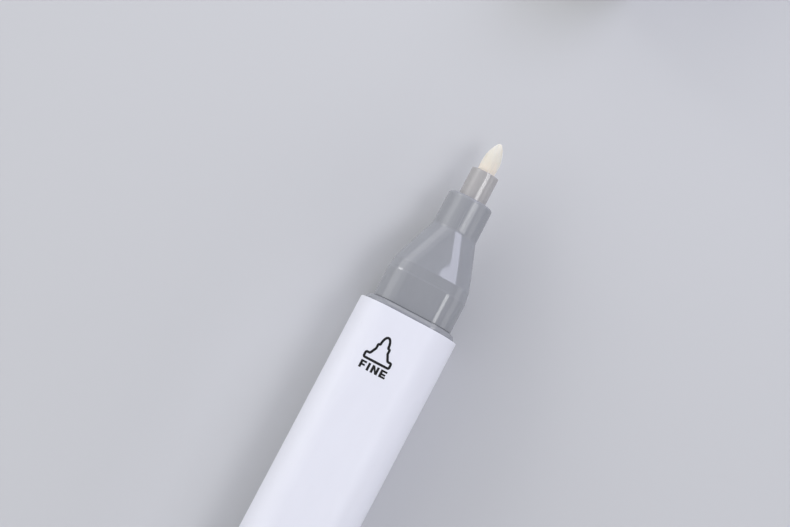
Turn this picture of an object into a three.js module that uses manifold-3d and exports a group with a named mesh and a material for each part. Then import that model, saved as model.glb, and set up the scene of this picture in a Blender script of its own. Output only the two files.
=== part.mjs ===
// A double-ended blender marker: a rounded-square barrel with a fine bullet nib in one end and
// a broad chisel nib in the other, each under a pull-off cap with a sealing cup inside.
// Units are millimetres and +Z is up. The marker lies on one flat of its barrel, with its axis
// along X and the fine nib towards +X. The origin is under the middle of the barrel, where that
// flat meets the surface. The fine cap is off, and lies on the same axis ahead of its nib.
import * as THREE from "three";
import { mergeVertices } from "three/addons/utils/BufferGeometryUtils.js";
import Module from "manifold-3d";

const wasm = await Module();
wasm.setup();

// Barrel
const BARREL_LENGTH = 80;
const BARREL_ACROSS = 15.5; // over two opposite flats
const BARREL_CORNER = 5; // radius of the long corners
const BARREL_WALL = 1.1;
const RIM_ROUND = 0.2; // rounding of the rims of barrel and cap

// Both necks, from the barrel outwards
const SPIGOT_LENGTH = 9; // the stretch pressed into the barrel
const SPIGOT_CHAMFER = 0.5;
const FLANGE_SETBACK = 0.585; // from the barrel's outside, on each side
const FLANGE_HEIGHT = 0.75;
const FLANGE_ROUND = 0.35;
const FLANGE_FILLET = 0.3; // hollow fillet between flange and prism
const PRISM_LENGTH = 5.1;
const CORNER_LESS = 1.05; // how much tighter the prism's corners are than the barrel's
const SNAP_STEP = 0.05; // how far the band stands back from the prism, on each side
const BAND_LENGTH = 1.5;
const NECK_WALL = 1.1; // the least wall between the flats and the round hollow
const RIB_THICKNESS = 0.8; // the cross of ribs in the hollow
const RIB_SETBACK = 2.5; // from the spigot's end to the ribs
const CREASE_ROUND = 1.5; // rounding of the edge where the band gives way to the cone
const COLLAR_FILLET = 4; // radius of the hollow sweep from the cone into the collar
const COLLAR_DRAFT = 0.05; // how much slimmer a collar's rim is than its foot, in radius
const COLLAR_ROUND = 0.45;

// Fine end
const FINE_CONE_LENGTH = 7.15;
const FINE_COLLAR_WALL = 1.35; // at its foot
const FINE_COLLAR_LENGTH = 5.55;
const FINE_SHOULDER_DROP = 0.8; // from the collar's foot to the stop behind it
const SLEEVE_WALL = 0.725;
const SLEEVE_REACH = 4.5; // how far the sleeve stands out of the collar
const SLEEVE_ROUND = 0.1;
const SLEEVE_STOP_RIM = 0.7; // how far its stop stands out from its wall
const SLEEVE_STOP_LENGTH = 1;
const SLEEVE_TAIL_LENGTH = 6; // behind the stop
const FINE_NIB_RADIUS = 1.375;
const FINE_NIB_REACH = 4.9; // how far the nib stands out of the sleeve
const FINE_NIB_OGIVE = 5.25; // radius of the arc that draws the nib in
const FINE_NIB_TIP = 0.46; // radius of the tip itself, and of the flat on the hidden end
const FINE_NIB_POINT = 1.6; // length of the taper to that flat

// Broad end
const BROAD_CONE_LENGTH = 4.5;
const BROAD_COLLAR_WALL = 1.5; // outside the nib's wide sides, at the collar's foot
const BROAD_COLLAR_LENGTH = 6.5;
const BROAD_SHOULDER_DROP = 1; // from the collar's foot to the end of the hollow
const BROAD_NIB_WIDTH = 6.1;
const BROAD_NIB_THICKNESS = 3.7;
const BROAD_NIB_ROUND = 0.6; // radius of the nib's long edges
const BROAD_NIB_REACH = 8;
const BROAD_NIB_SLANT = 4.2; // how much further the long corner reaches than the short one
const BROAD_NIB_EDGE = 1.3; // thickness left at the writing edge
const BROAD_NIB_WEDGE = 5.2; // length over which the nib thins to that edge
const BROAD_TAIL_WIDTH = 4; // of the end that sits in the fibre

// Reservoir
const FILM_THICKNESS = 0.15;
const NIB_BITE = 6; // how deep each nib's tail sits in the fibre

// Caps
const CAP_WALL = 1.2;
const CAP_LEAD_IN = 0.4; // chamfer inside the mouth
const SNAP_BEAD_LENGTH = 0.8;
const TIP_ROOM = 1.6; // from the longer nib's tip to the floor of the cup
const CUP_WALL = 0.8;
const CUP_FLOOR = 1;
const CUP_STANDOFF = 2.3; // from a collar's foot to the mouth of the cup over it
const CUP_LEAD_IN = 0.3;
const LEDGE_THICKNESS = 1; // the ring in the shell that carries the cup's flange
const PLUG_SPIGOT = 1.4;
const PLUG_HEAD = 2.4;
const PLUG_ROUND = 0.7;
const PARKED_GAP = 34; // from the fine nib's tip to the mouth of the cap that lies ahead of it

// Clearances
const SEAT_GAP = 0.05; // between faces that rest on each other
const FIT_GAP = 0.05; // around a piece that is pressed into another
const SEAL_GAP = 0.06; // between a collar and the cup that slides over it
const CAP_GAP = 0.25; // between the prism and the cap that slides over it
const SNAP_GAP = 0.07; // between the prism and the cap's snap bead
const CUP_FLANGE_GAP = 0.25; // around the cup's flange in the cap
const RESERVOIR_GAP = 0.15; // between the reservoir and what holds it
const CUT_PAST = 1; // how far a cutter runs past what it cuts

// Facets in a quarter turn and in a small rounding. Round pieces and rounded corners have
// their facets at the same angles, so a clearance between two of them stays even.
const QUARTER_STEPS = 8;
const ROUND_STEPS = 3;
const OGIVE_STEPS = 9;

// Half-widths and radii, from the outside inwards and from each nib outwards
const barrelHalf = BARREL_ACROSS / 2;
const barrelInside = barrelHalf - BARREL_WALL;
const capInside = barrelHalf - CAP_WALL;
const prismHalf = capInside - CAP_GAP;
const spigotHalf = barrelInside - FIT_GAP;
const neckHollow = Math.min(prismHalf - SNAP_STEP, spigotHalf) - NECK_WALL;
const sleeveBore = FINE_NIB_RADIUS + FIT_GAP;
const sleeveRadius = sleeveBore + SLEEVE_WALL;
const sleeveStopRadius = sleeveRadius + SLEEVE_STOP_RIM;
const fineCollarRadius = sleeveRadius + FIT_GAP + FINE_COLLAR_WALL;
const broadCollarRadius = BROAD_NIB_WIDTH / 2 + FIT_GAP + BROAD_COLLAR_WALL;
const cupFlangeRadius = capInside - CUP_FLANGE_GAP;
const filmRadius = barrelInside - RESERVOIR_GAP;
const fibreRadius = filmRadius - FILM_THICKNESS - FIT_GAP;

// Stations along either end, measured outwards from the barrel's rim
const prismFoot = SEAT_GAP + FLANGE_HEIGHT;
const prismEnd = prismFoot + PRISM_LENGTH;
const coneFoot = prismEnd + BAND_LENGTH;
const reservoirEnd = -(SPIGOT_LENGTH + RESERVOIR_GAP);
const nibTail = reservoirEnd - NIB_BITE;
const fineCollarFoot = coneFoot + FINE_CONE_LENGTH;
const fineCollarRim = fineCollarFoot + FINE_COLLAR_LENGTH;
const fineShoulder = fineCollarFoot - FINE_SHOULDER_DROP;
const sleeveRim = fineCollarRim + SLEEVE_REACH;
const sleeveTail = fineShoulder - SEAT_GAP - SLEEVE_STOP_LENGTH - SLEEVE_TAIL_LENGTH;
const fineTip = sleeveRim + FINE_NIB_REACH;
const broadCollarFoot = coneFoot + BROAD_CONE_LENGTH;
const broadCollarRim = broadCollarFoot + BROAD_COLLAR_LENGTH;
const broadTip = broadCollarRim + BROAD_NIB_REACH;
const capSeat = prismFoot + SEAT_GAP;

// Stations inside either cap, measured from its mouth. Both caps have the longer nib's depth.
const cupFloor = Math.max(fineTip, broadTip) - capSeat + TIP_ROOM;
const ledgeTop = cupFloor - SEAT_GAP;
const cupEnd = cupFloor + CUP_FLOOR;
const shellEnd = cupEnd + SEAT_GAP + PLUG_SPIGOT;
const plugFoot = shellEnd + SEAT_GAP;
const plugEnd = plugFoot + PLUG_HEAD;
const snapBead = prismEnd - capSeat + SNAP_BEAD_LENGTH / 2;

// Half the length of the reservoir, which is centred in the barrel
const reservoirHalf = BARREL_LENGTH / 2 + reservoirEnd;

// Cross-section outlines: squares of a half-width, with rounded corners.
const barrelOutline = { half: barrelHalf, corner: BARREL_CORNER };
const prismOutline = { half: prismHalf, corner: BARREL_CORNER - CORNER_LESS };

// Sections of an outline moved in or out by an offset at a height, from [offset, height] pairs.
function sections(outline, pairs) {
  return pairs.map(([offset, z]) => {
    const half = outline.half + offset;
    return { half, corner: THREE.MathUtils.clamp(outline.corner + offset, 0, half), z };
  });
}

// Round sections, from [radius, height] pairs.
const discs = (pairs) => sections({ half: 0, corner: 0 }, pairs);

// Sections that round the edge which a loft makes at the middle one of three. They lie on a
// conic from one side to the other, an arc of the radius as seen square to the flats.
function rounded(before, edge, after, radius) {
  const leg = ({ half, z }) => new THREE.Vector2(half - edge.half, z - edge.z);
  const [back, ahead] = [leg(before), leg(after)];
  const bend = (Math.PI - back.angleTo(ahead)) / 2;
  const length = radius * Math.tan(bend);
  const along = (other, share) => (key) => THREE.MathUtils.lerp(edge[key], other[key], share);
  const first = along(before, length / back.length());
  const last = along(after, length / ahead.length());
  return Array.from({ length: ROUND_STEPS + 1 }, (_, step) => {
    const t = step / ROUND_STEPS;
    const [a, b, c] = [(1 - t) ** 2, 2 * t * (1 - t) * Math.cos(bend), t ** 2];
    const mix = (key) => (a * first(key) + b * edge[key] + c * last(key)) / (a + b + c);
    return { half: mix("half"), corner: mix("corner"), z: mix("z") };
  });
}

// Pairs along an arc about (centre, z). Angle 0 points outwards, 90 points up the axis.
function arc(centre, z, radius, from, to, steps = ROUND_STEPS) {
  return Array.from({ length: steps + 1 }, (_, step) => {
    const angle = THREE.MathUtils.degToRad(from + ((to - from) * step) / steps);
    return [centre + radius * Math.cos(angle), z + radius * Math.sin(angle)];
  });
}

// The points of one section, anticlockwise seen from above: four corner arcs.
function ring({ half, corner, z }) {
  const flat = half - corner;
  const points = [];
  for (let quarter = 0; quarter < 4; quarter++) {
    const side = (quarter + 0.5) * (Math.PI / 2);
    const centre = [Math.sign(Math.cos(side)) * flat, Math.sign(Math.sin(side)) * flat];
    for (let step = 0; step <= QUARTER_STEPS; step++) {
      const angle = (quarter + step / QUARTER_STEPS) * (Math.PI / 2);
      const x = centre[0] + corner * Math.cos(angle);
      const y = centre[1] + corner * Math.sin(angle);
      points.push(new THREE.Vector3(x, y, z));
    }
  }
  return points;
}

// A closed surface lofted through sections in order, outside upwards and inside downwards.
// The flats of a square narrow to points where it turns into a circle. A loft of a solid
// starts and ends on the axis, and a loft of a tube comes back to its first section.
function loft(list) {
  const rings = list.map(ring);
  const position = [];
  const face = (a, b, c) => {
    const real = a.distanceTo(b) > 1e-6 && b.distanceTo(c) > 1e-6 && c.distanceTo(a) > 1e-6;
    if (real) position.push(...a, ...b, ...c);
  };
  for (let i = 0; i + 1 < rings.length; i++) {
    const [low, high] = [rings[i], rings[i + 1]];
    for (let j = 0; j < low.length; j++) {
      const next = (j + 1) % low.length;
      face(low[j], low[next], high[j]);
      face(low[next], high[next], high[j]);
    }
  }
  const geometry = new THREE.BufferGeometry();
  geometry.setAttribute("position", new THREE.Float32BufferAttribute(position, 3));
  geometry.computeVertexNormals();
  return geometry;
}

// A round piece turned about the axis, from [radius, height] pairs.
function turned(pairs) {
  const profile = pairs.map(([radius, z]) => new THREE.Vector2(radius, z));
  return new THREE.LatheGeometry(profile, 4 * QUARTER_STEPS).rotateX(Math.PI / 2);
}

// A plain rod along the axis, used as a cutter.
const rod = (radius, from, to) => turned([[0, from], [radius, from], [radius, to], [0, to]]);

// A plate whose outline lies in the plane of X and the axis, from [x, height] points.
function plate(points, thickness) {
  const shape = new THREE.Shape(points.map(([x, z]) => new THREE.Vector2(x, z)));
  const geometry = new THREE.ExtrudeGeometry(shape, { depth: thickness, bevelEnabled: false });
  return geometry.translate(0, 0, -thickness / 2).rotateX(Math.PI / 2);
}

// A block about the axis, thickness across X and width across Y.
function block(thickness, width, from, to) {
  return new THREE.BoxGeometry(thickness, width, to - from).translate(0, 0, (from + to) / 2);
}

// The same with its four long edges rounded.
function bar(thickness, width, round, from, to) {
  const [x, y, r] = [thickness / 2, width / 2, Math.min(round, thickness / 2, width / 2)];
  const shape = new THREE.Shape();
  shape.moveTo(x, r - y);
  shape.lineTo(x, y - r).absarc(x - r, y - r, r, 0, Math.PI / 2);
  shape.lineTo(r - x, y).absarc(r - x, y - r, r, Math.PI / 2, Math.PI);
  shape.lineTo(-x, r - y).absarc(r - x, r - y, r, Math.PI, Math.PI * 1.5);
  shape.lineTo(x - r, -y).absarc(x - r, r - y, r, Math.PI * 1.5, Math.PI * 2);
  const options = { depth: to - from, bevelEnabled: false, curveSegments: ROUND_STEPS };
  return new THREE.ExtrudeGeometry(shape, options).translate(0, 0, from);
}

// A geometry as a solid that can be joined and cut.
function solid(geometry) {
  const bare = new THREE.BufferGeometry();
  bare.setAttribute("position", geometry.getAttribute("position"));
  if (geometry.index) bare.setIndex(geometry.index);
  const merged = mergeVertices(bare);
  const triVerts = new Uint32Array(merged.index.array);
  const vertProperties = merged.attributes.position.array;
  return new wasm.Manifold(new wasm.Mesh({ numProp: 3, vertProperties, triVerts }));
}

// A cut solid as a geometry again.
function geometryOf(made) {
  const mesh = made.getMesh();
  const geometry = new THREE.BufferGeometry();
  geometry.setAttribute("position", new THREE.BufferAttribute(mesh.vertProperties, 3));
  geometry.setIndex(new THREE.BufferAttribute(mesh.triVerts, 1));
  geometry.computeVertexNormals();
  return geometry;
}

// Barrel: an open tube with rounded rims, centred on the origin.
function barrel() {
  const end = BARREL_LENGTH / 2;
  const profile = [
    ...arc(-RIM_ROUND, RIM_ROUND - end, RIM_ROUND, -90, 0),
    ...arc(-RIM_ROUND, end - RIM_ROUND, RIM_ROUND, 0, 90),
    [-BARREL_WALL, end],
    [-BARREL_WALL, -end],
  ];
  return loft(sections(barrelOutline, [...profile, profile[0]]));
}

// The outside of either neck: the spigot in the barrel, the flange on its rim, the prism that
// the cap slides over, the step and band where the cap clicks, the square-to-round cone, and
// the collar that the cap's cup seals on.
function neckOutside(coneEnd, collarRadius, collarRim) {
  const spigot = spigotHalf - barrelHalf;
  const rimRadius = collarRadius - COLLAR_DRAFT;
  const [bandFoot, crease] = sections(prismOutline, [
    [-SNAP_STEP, prismEnd + SNAP_STEP],
    [-SNAP_STEP, coneFoot],
  ]);
  const [foot, ...rim] = discs([
    [collarRadius, coneEnd],
    ...arc(rimRadius - COLLAR_ROUND, collarRim - COLLAR_ROUND, COLLAR_ROUND, 0, 90),
    [0, collarRim],
  ]);
  return [
    { half: 0, corner: 0, z: -SPIGOT_LENGTH },
    ...sections(barrelOutline, [
      [spigot - SPIGOT_CHAMFER, -SPIGOT_LENGTH],
      [spigot, SPIGOT_CHAMFER - SPIGOT_LENGTH],
      [spigot, SEAT_GAP],
      [-FLANGE_SETBACK, SEAT_GAP],
      ...arc(-FLANGE_SETBACK - FLANGE_ROUND, prismFoot - FLANGE_ROUND, FLANGE_ROUND, 0, 90),
    ]),
    ...sections(prismOutline, [
      ...arc(FLANGE_FILLET, prismFoot + FLANGE_FILLET, FLANGE_FILLET, -90, -180),
      [0, prismEnd],
    ]),
    bandFoot,
    ...rounded(bandFoot, crease, foot, CREASE_ROUND),
    ...rounded(crease, foot, rim[0], COLLAR_FILLET),
    ...rim,
  ];
}

// The cross of ribs that steadies a nib in a neck's hollow, up to the given height.
function ribs(top) {
  const from = RIB_SETBACK - SPIGOT_LENGTH;
  const rib = (thickness, width) => solid(block(thickness, width, from, top));
  return rib(RIB_THICKNESS, BARREL_ACROSS).add(rib(BARREL_ACROSS, RIB_THICKNESS));
}

// A neck: its outside, less a round hollow that leaves the ribs, less the bore for its nib.
function neck(outside, shoulder, shoulderRadius, ribTop, bore) {
  const below = -SPIGOT_LENGTH - CUT_PAST;
  const hollow = turned([
    [0, below],
    [neckHollow, below],
    [neckHollow, coneFoot],
    [shoulderRadius, shoulder],
    [0, shoulder],
  ]);
  const hollowBetweenRibs = solid(hollow).subtract(ribs(ribTop));
  return geometryOf(solid(loft(outside)).subtract(hollowBetweenRibs).subtract(solid(bore)));
}

function fineNeck() {
  const outside = neckOutside(fineCollarFoot, fineCollarRadius, fineCollarRim);
  const ribTop = fineShoulder - SEAT_GAP - SLEEVE_STOP_LENGTH - SEAT_GAP;
  const bore = rod(sleeveRadius + FIT_GAP, -SPIGOT_LENGTH - CUT_PAST, fineCollarRim + CUT_PAST);
  return neck(outside, fineShoulder, sleeveStopRadius + FIT_GAP, ribTop, bore);
}

// The sleeve goes in from behind, until its stop meets the shoulder behind the collar.
function fineNibSleeve() {
  const stop = fineShoulder - SEAT_GAP;
  const profile = [
    [sleeveBore, sleeveTail],
    [sleeveRadius, sleeveTail],
    [sleeveRadius, stop - SLEEVE_STOP_LENGTH],
    [sleeveStopRadius, stop - SLEEVE_STOP_LENGTH],
    [sleeveStopRadius, stop],
    [sleeveRadius, stop],
    ...arc(sleeveRadius - SLEEVE_ROUND, sleeveRim - SLEEVE_ROUND, SLEEVE_ROUND, 0, 90),
    [sleeveBore, sleeveRim],
  ];
  return turned([...profile, profile[0]]);
}

// The bullet nib: an arc of the ogive radius, tangent to the shank, runs into the ball of the
// tip, and both touch where the line between their centres meets them.
function fineNib() {
  const ogiveCentre = FINE_NIB_RADIUS - FINE_NIB_OGIVE;
  const between = FINE_NIB_OGIVE - FINE_NIB_TIP;
  const nose = Math.sqrt(between ** 2 - ogiveCentre ** 2);
  const shankEnd = fineTip - FINE_NIB_TIP - nose;
  const meets = THREE.MathUtils.radToDeg(Math.asin(nose / between));
  return turned([
    [0, nibTail],
    [FINE_NIB_TIP, nibTail],
    [FINE_NIB_RADIUS, nibTail + FINE_NIB_POINT],
    ...arc(ogiveCentre, shankEnd, FINE_NIB_OGIVE, 0, meets, OGIVE_STEPS),
    ...arc(0, shankEnd + nose, FINE_NIB_TIP, meets, 90).slice(1, -1),
    [0, fineTip],
  ]);
}

function broadNeck() {
  const outside = neckOutside(broadCollarFoot, broadCollarRadius, broadCollarRim);
  const shoulder = broadCollarFoot - BROAD_SHOULDER_DROP;
  const thickness = BROAD_NIB_THICKNESS + 2 * FIT_GAP;
  const width = BROAD_NIB_WIDTH + 2 * FIT_GAP;
  const round = BROAD_NIB_ROUND + FIT_GAP;
  const bore = bar(thickness, width, round, -SPIGOT_LENGTH - CUT_PAST, broadCollarRim + CUT_PAST);
  return neck(outside, shoulder, broadCollarRadius - NECK_WALL, shoulder, bore);
}

// The chisel nib: a bar cut by its slanted face outline and by its wedge-shaped side outline.
function broadNib() {
  const [wide, thick] = [BROAD_NIB_WIDTH / 2, BROAD_NIB_THICKNESS / 2];
  const [tail, edge] = [BROAD_TAIL_WIDTH / 2, BROAD_NIB_EDGE / 2];
  const shoulder = -SPIGOT_LENGTH;
  const face = [
    [-tail, nibTail],
    [tail, nibTail],
    [tail, reservoirEnd],
    [wide, shoulder],
    [wide, broadTip - BROAD_NIB_SLANT],
    [-wide, broadTip],
    [-wide, shoulder],
    [-tail, reservoirEnd],
  ];
  const side = [
    [-thick, nibTail],
    [thick, nibTail],
    [thick, broadTip - BROAD_NIB_WEDGE],
    [edge, broadTip],
    [-edge, broadTip],
    [-thick, broadTip - BROAD_NIB_WEDGE],
  ];
  const round = bar(BROAD_NIB_THICKNESS, BROAD_NIB_WIDTH, BROAD_NIB_ROUND, nibTail, broadTip);
  const facePlate = plate(face, BROAD_NIB_THICKNESS + 2 * CUT_PAST).rotateZ(Math.PI / 2);
  const sidePlate = plate(side, BROAD_NIB_WIDTH + 2 * CUT_PAST);
  return geometryOf(solid(round).intersect(solid(facePlate)).intersect(solid(sidePlate)));
}

// Reservoir fibre: a round bundle with a socket at each end for a nib's tail.
function reservoirFibre() {
  const depth = reservoirHalf - NIB_BITE - FIT_GAP;
  const past = reservoirHalf + CUT_PAST;
  const fineSocket = rod(FINE_NIB_RADIUS + FIT_GAP, depth, past);
  const thickness = BROAD_NIB_THICKNESS + 2 * FIT_GAP;
  const width = BROAD_TAIL_WIDTH + 2 * FIT_GAP;
  const broadSocket = block(thickness, width, -past, -depth);
  const bundle = solid(rod(fibreRadius, -reservoirHalf, reservoirHalf));
  return geometryOf(bundle.subtract(solid(fineSocket)).subtract(solid(broadSocket)));
}

// Reservoir film: the thin tube round the bundle.
function reservoirFilm() {
  const inner = filmRadius - FILM_THICKNESS;
  const profile = [
    [inner, -reservoirHalf],
    [filmRadius, -reservoirHalf],
    [filmRadius, reservoirHalf],
    [inner, reservoirHalf],
  ];
  return turned([...profile, profile[0]]);
}

// Cap shell: the barrel's own section, with a snap bead inside that clicks past the prism,
// and a ledge whose round hole lets the cup through and carries its flange.
function capShell(cupRadius) {
  const bead = SNAP_BEAD_LENGTH / 2;
  const beadHeight = CAP_GAP - SNAP_GAP;
  const hole = cupRadius + FIT_GAP;
  const ledgeFoot = ledgeTop - LEDGE_THICKNESS;
  const outside = [
    ...arc(-RIM_ROUND, RIM_ROUND, RIM_ROUND, -90, 0),
    [0, shellEnd],
    [-CAP_WALL, shellEnd],
    [-CAP_WALL, ledgeTop],
  ];
  const inside = [
    [-CAP_WALL, ledgeFoot],
    [-CAP_WALL, snapBead + bead],
    [-CAP_WALL - beadHeight, snapBead],
    [-CAP_WALL, snapBead - bead],
    [-CAP_WALL, CAP_LEAD_IN],
    [CAP_LEAD_IN - CAP_WALL, 0],
  ];
  const list = [
    ...sections(barrelOutline, outside),
    ...discs([[hole, ledgeTop], [hole, ledgeFoot]]),
    ...sections(barrelOutline, inside),
  ];
  return loft([...list, list[0]]);
}

// Cap liner: the cup that seals round the collar, hung by its flange from the shell's ledge.
function capLiner(bore, mouth) {
  const radius = bore + CUP_WALL;
  return turned([
    [0, cupFloor],
    [bore, cupFloor],
    [bore, mouth + CUP_LEAD_IN],
    [bore + CUP_LEAD_IN, mouth],
    [radius, mouth],
    [radius, cupFloor],
    [cupFlangeRadius, cupFloor],
    [cupFlangeRadius, cupEnd],
    [0, cupEnd],
  ]);
}

// Cap plug: the end piece, whose spigot holds the cup's flange down.
function capPlug() {
  const spigot = -CAP_WALL - FIT_GAP;
  const foot = cupEnd + SEAT_GAP;
  const body = sections(barrelOutline, [
    [spigot, foot],
    [spigot, plugFoot],
    ...arc(-RIM_ROUND, plugFoot + RIM_ROUND, RIM_ROUND, -90, 0),
    ...arc(-PLUG_ROUND, plugEnd - PLUG_ROUND, PLUG_ROUND, 0, 90),
  ]);
  return loft([{ half: 0, corner: 0, z: foot }, ...body, { half: 0, corner: 0, z: plugEnd }]);
}

// A named mesh with a material of its own.
function piece(name, geometry, color, roughness) {
  const material = new THREE.MeshStandardMaterial({ color, roughness, metalness: 0 });
  const mesh = new THREE.Mesh(geometry, material);
  mesh.name = name;
  return mesh;
}

const WHITE = 0xe6e7ef;
const GREY = 0x9a9da1;
const SLEEVE_GREY = 0xa5a4a5;
const PALE_GREY = 0xcfd1d6;
const MILKY = 0xe9eaec;
const NIB_CREAM = 0xe9e4d8;
const FIBRE_WHITE = 0xf0efe9;

// A cap for a collar, with its mouth at the given distance from the barrel's rim.
function cap(prefix, collarRadius, collarFoot, mouthAt) {
  const group = new THREE.Group();
  const bore = collarRadius + SEAL_GAP;
  const cupMouth = collarFoot + CUP_STANDOFF - capSeat;
  group.add(
    piece(`${prefix}_shell`, capShell(bore + CUP_WALL), WHITE, 0.3),
    piece(`${prefix}_liner`, capLiner(bore, cupMouth), MILKY, 0.5),
    piece(`${prefix}_plug`, capPlug(), PALE_GREY, 0.35),
  );
  group.position.z = mouthAt;
  return group;
}

function fineEnd() {
  const group = new THREE.Group();
  group.add(
    piece("fine_neck", fineNeck(), GREY, 0.25),
    piece("fine_nib_sleeve", fineNibSleeve(), SLEEVE_GREY, 0.35),
    piece("fine_nib", fineNib(), NIB_CREAM, 0.7),
    cap("fine_cap", fineCollarRadius, fineCollarFoot, fineTip + PARKED_GAP),
  );
  group.position.z = BARREL_LENGTH / 2;
  return group;
}

function broadEnd() {
  const group = new THREE.Group();
  group.add(
    piece("broad_neck", broadNeck(), GREY, 0.25),
    piece("broad_nib", broadNib(), NIB_CREAM, 0.8),
    cap("broad_cap", broadCollarRadius, broadCollarFoot, capSeat),
  );
  group.position.z = -BARREL_LENGTH / 2;
  group.rotation.x = Math.PI;
  return group;
}

// The marker is built standing on its broad end, then laid down along X at its resting height.
const marker = new THREE.Group();
marker.add(
  piece("barrel", barrel(), WHITE, 0.3),
  piece("reservoir_fibre", reservoirFibre(), FIBRE_WHITE, 0.95),
  piece("reservoir_film", reservoirFilm(), MILKY, 0.2),
  fineEnd(),
  broadEnd(),
);
marker.rotation.y = Math.PI / 2;
marker.position.z = barrelHalf;

const model = new THREE.Group();
model.add(marker);

export default model;
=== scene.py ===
"""A double-ended blender marker: its fine surfaces and finishes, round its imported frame.

The marker lies along X on the floor, with the fine nib towards +X and +Z up. Each end is
described by stations, which are distances outwards from the barrel's rim along the axis.
Every piece is a surface on a grid: a profile of rounded-square sections, carried along the
axis. All sizes are in metres.
"""

import logging
import math
from dataclasses import dataclass, field, replace
from enum import Enum
from functools import cache
from typing import Callable, Sequence

import bmesh
import bpy
import numpy as np
from mathutils import Matrix, Vector


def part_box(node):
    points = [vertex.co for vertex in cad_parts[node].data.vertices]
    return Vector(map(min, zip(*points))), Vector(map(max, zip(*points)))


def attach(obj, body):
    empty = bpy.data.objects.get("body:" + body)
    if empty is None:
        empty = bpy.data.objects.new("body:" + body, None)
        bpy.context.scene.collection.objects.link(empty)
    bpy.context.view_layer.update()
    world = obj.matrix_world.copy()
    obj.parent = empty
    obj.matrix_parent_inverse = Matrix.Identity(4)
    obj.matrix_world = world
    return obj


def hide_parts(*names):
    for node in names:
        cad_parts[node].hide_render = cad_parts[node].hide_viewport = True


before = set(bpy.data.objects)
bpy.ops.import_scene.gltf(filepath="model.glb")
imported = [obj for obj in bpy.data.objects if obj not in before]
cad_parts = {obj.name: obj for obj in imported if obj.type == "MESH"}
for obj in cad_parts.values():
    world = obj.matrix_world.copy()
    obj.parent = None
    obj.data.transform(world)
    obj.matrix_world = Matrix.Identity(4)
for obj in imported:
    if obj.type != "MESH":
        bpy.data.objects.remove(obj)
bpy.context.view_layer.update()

log = logging.getLogger("marker")

MM = 0.001
PHOTO_WIDTH = 790
BARREL_NODE = "barrel"

# Roundings of small edges
TIGHT = 0.05 * MM  # in the hollow corner between two walls
BREAK = 0.08 * MM  # where the mould leaves an edge nearly sharp
EDGE = 0.1 * MM  # where an edge is just rounded off
SOFT = 0.2 * MM  # where another piece or a hand slides over it

# Limits of the surfaces
FINE_PITCH = 0.5 * MM  # the spacing of points where a surface bulges or wanders
NOTHING = 1e-9  # keeps a division from being one by zero
SAME = 1e-8  # rows of a profile that are no further apart are one


class End(Enum):
    """The two ends of the marker. The value is the direction in which each points along X."""

    FINE = 1
    BROAD = -1


class Body(Enum):
    """The bodies that pieces ride on, as the frame names them."""

    BARREL = "barrel"
    FINE_CAP = "fine_cap"
    BROAD_CAP = "broad_cap"


# Frame


@dataclass(frozen=True)
class Axis:
    """The marker's axis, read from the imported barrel."""

    height: float
    rim: float
    half: float

    @classmethod
    def from_frame(cls) -> "Axis":
        """Reads the axis from the barrel's box.

        Returns:
            The axis height, the barrel's half-length and its half-width.
        """
        low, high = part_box(BARREL_NODE)
        return cls((low.z + high.z) / 2, (high.x - low.x) / 2, (high.y - low.y) / 2)

    def reach(self, node: str, end: End) -> tuple[float, float]:
        """Measures where a node starts and stops along its end.

        Args:
            node: A CAD node of that end.
            end: The end whose stations are wanted.

        Returns:
            The node's nearest and furthest station from the barrel's rim.
        """
        low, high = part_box(node)
        along = sorted((low.x * end.value, high.x * end.value))
        return along[0] - self.rim, along[1] - self.rim

    def place(self, points: np.ndarray, end: End) -> np.ndarray:
        """Turns points of an end into points of the frame.

        The broad end is the fine end turned half a turn about the vertical, so X and Y change
        sign together. Stations start at the barrel's rim and heights at its axis.

        Args:
            points: Rows of station, sideways and upwards.
            end: The end that the points belong to.

        Returns:
            Rows of X, Y and Z.
        """
        x = (points[..., 0] + self.rim) * end.value
        return np.stack([x, points[..., 1] * end.value, points[..., 2] + self.height], -1)


# Profiles


@dataclass(frozen=True)
class Stop:
    """One corner of a profile.

    The section there is a rectangle of the half-width and half-height given, with corners of
    that radius. Without a half-height it is a square. The rounding is the radius of the edge
    that the profile makes there.
    """

    half: float
    corner: float
    station: float
    rounding: float = 0.0
    half_height: float | None = None

    def row(self) -> list[float]:
        """Gives half-width, half-height, corner radius and station."""
        height = self.half if self.half_height is None else self.half_height
        return [self.half, height, self.corner, self.station]


@dataclass(frozen=True)
class Outline:
    """A rounded square by its half-width and the radius of its corners."""

    half: float
    corner: float

    def stop(self, offset: float, station: float, rounding: float = 0.0) -> Stop:
        """Moves the outline in or out by an offset and puts it at a station."""
        corner = min(max(self.corner + offset, 0.0), self.half + offset)
        return Stop(self.half + offset, corner, station, rounding)


def disc(radius: float, station: float, rounding: float = 0.0) -> Stop:
    """Makes a round section."""
    return Stop(radius, radius, station, rounding)


def planar(rows: np.ndarray) -> np.ndarray:
    """Measures how far rows of a profile reach in half-width and station."""
    return np.hypot(rows[..., 0], rows[..., 3])


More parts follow.
